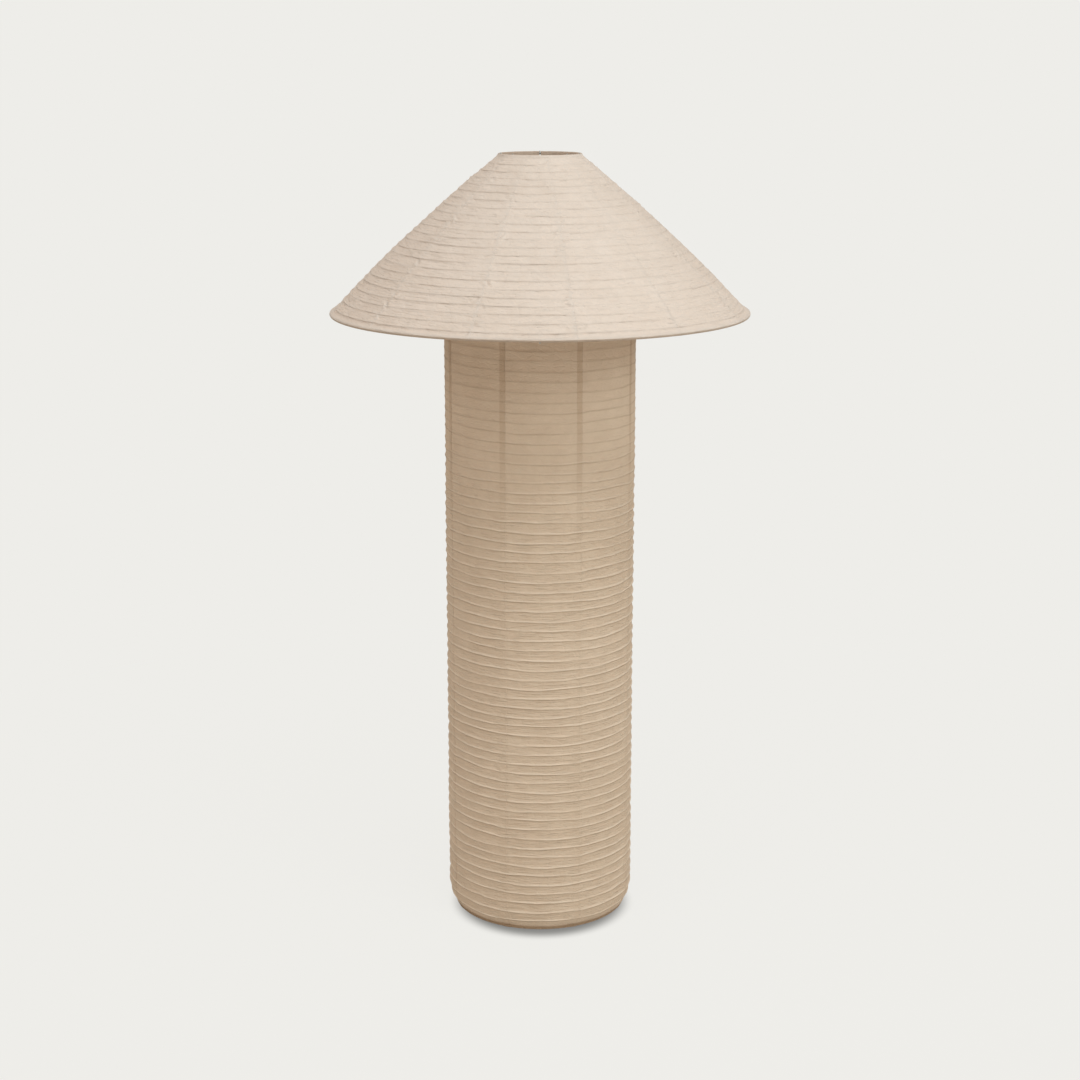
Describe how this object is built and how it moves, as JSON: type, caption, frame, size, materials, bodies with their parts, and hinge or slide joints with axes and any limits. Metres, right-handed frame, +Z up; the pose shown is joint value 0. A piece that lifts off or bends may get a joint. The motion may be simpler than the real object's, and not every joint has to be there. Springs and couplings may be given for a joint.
{
  "type": "floor lamp",
  "caption": "Free-standing paper lantern floor lamp: a ribbed paper column on a weighted base, under a wide ribbed paper cone that hides the upper bulb.",
  "frame": {"origin": "on the floor, under the middle of the pole", "axes": "+Z up along the pole, -Y to the front, +X to the right; the lower lampholder's arm points to +X"},
  "size_m": [0.6504, 0.6502, 1.2168],
  "materials": {
    "column_paper": "unbleached ribbed paper, matt, with soft creases",
    "shade_paper": "unbleached ribbed paper, matt, with soft creases",
    "rib_wire": "thin steel wire lacquered brown",
    "frame_wire": "steel wire with a grey satin coat",
    "black_paint": "satin black powder coat",
    "dark_tube": "satin black paint on steel tube",
    "zinc_steel": "zinc plated steel",
    "rubber": "black rubber",
    "brass": "satin brass",
    "holder_plastic": "ivory moulded plastic",
    "porcelain": "white porcelain",
    "bulb_cap": "rolled aluminium screw cap",
    "bulb_glass": "opal glass",
    "lead_sheath": "cream cable sheath",
    "white_plastic": "white nylon"
  },
  "bodies": {
    "stand": {"base_plate": "black_paint", "base_feet": "rubber", "base_bolt": "zinc_steel", "base_washer": "zinc_steel", "pole_foot": "black_paint", "cord_gland": "rubber", "lower_pole": "dark_tube", "cluster_body": "black_paint", "cluster_cap": "black_paint", "splice_block": "white_plastic", "holder_arm": "dark_tube", "arm_nut": "brass", "lower_holder_cap": "holder_plastic", "lower_holder_shell": "holder_plastic", "lower_holder_insert": "porcelain", "lower_holder_contacts": "brass", "supply_lead": "lead_sheath", "arm_lead": "lead_sheath", "upper_lead": "lead_sheath", "upper_pole": "dark_tube", "frame_collar": "brass", "pole_plug": "brass", "harp_saddle": "brass", "harp": "brass", "upper_holder_cap": "holder_plastic", "upper_holder_shell": "holder_plastic", "upper_holder_insert": "porcelain", "upper_holder_contacts": "brass"},
    "column": {"column_top_frame": "frame_wire", "column_bottom_ring": "frame_wire", "column_ribs": "rib_wire", "column_paper": "column_paper"},
    "lower_bulb": {"lower_bulb_cap": "bulb_cap", "lower_bulb_glass": "bulb_glass"},
    "upper_bulb": {"upper_bulb_cap": "bulb_cap", "upper_bulb_glass": "bulb_glass"},
    "clamp_screw": {"collar_screw": "brass"},
    "shade_washer": {"hub_washer": "white_plastic"},
    "shade": {"shade_top_frame": "frame_wire", "shade_rim_hoop": "rib_wire", "shade_struts": "frame_wire", "shade_ribs": "rib_wire", "shade_paper": "shade_paper"},
    "finial": {"finial_nut": "brass"}
  },
  "joints": [
    {"name": "column_turn", "type": "hinge", "parent": "stand", "child": "column", "pos_m": [0, 0, 0.976], "axis": [0, 0, 1], "continuous": true},
    {"name": "lower_bulb_turn", "type": "hinge", "parent": "stand", "child": "lower_bulb", "pos_m": [0.056, 0, 0.58], "axis": [0, 0, 1], "range_deg": [0, 1440]},
    {"name": "upper_bulb_turn", "type": "hinge", "parent": "stand", "child": "upper_bulb", "pos_m": [0, 0, 1.04], "axis": [0, 0, 1], "range_deg": [0, 1440]},
    {"name": "clamp_screw_turn", "type": "hinge", "parent": "stand", "child": "clamp_screw", "pos_m": [0, -0.018, 0.9698], "axis": [0, -1, 0], "range_deg": [0, 3600]},
    {"name": "shade_lift", "type": "slide", "parent": "stand", "child": "shade_washer", "axis": [0, 0, 1], "range_m": [0, 0.26]},
    {"name": "shade_turn", "type": "hinge", "parent": "shade_washer", "child": "shade", "pos_m": [0, 0, 1.185], "axis": [0, 0, 1], "continuous": true},
    {"name": "finial_turn", "type": "hinge", "parent": "shade_washer", "child": "finial", "pos_m": [0, 0, 1.19], "axis": [0, 0, 1], "range_deg": [0, 2880]}
  ]
}
